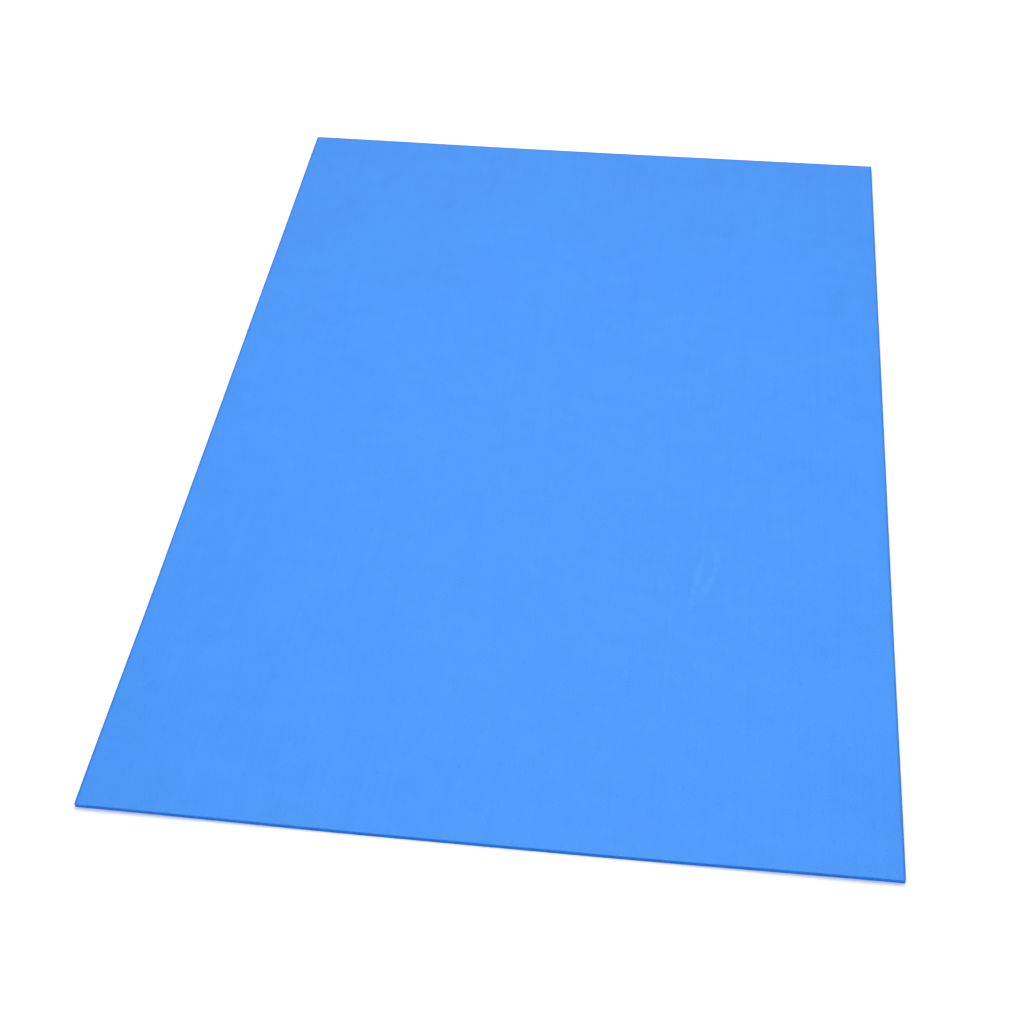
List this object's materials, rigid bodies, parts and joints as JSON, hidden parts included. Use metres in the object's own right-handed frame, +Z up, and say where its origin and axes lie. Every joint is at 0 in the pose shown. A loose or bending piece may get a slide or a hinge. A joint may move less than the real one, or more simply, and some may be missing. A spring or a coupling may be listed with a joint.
{
  "type": "foam sheet",
  "caption": "Flat rectangular sheet of soft blue craft foam, three to two in outline, with square corners and plain knife-cut edges.",
  "frame": {"origin": "middle of the face that the sheet lies on", "axes": "+Y along the sheet's length, +X across its width, +Z up out of the upper face"},
  "size_m": [0.3, 0.45, 0.002],
  "materials": {
    "foam": "matte"
  },
  "bodies": {
    "root": {"foam_sheet": "foam"}
  },
  "joints": []
}
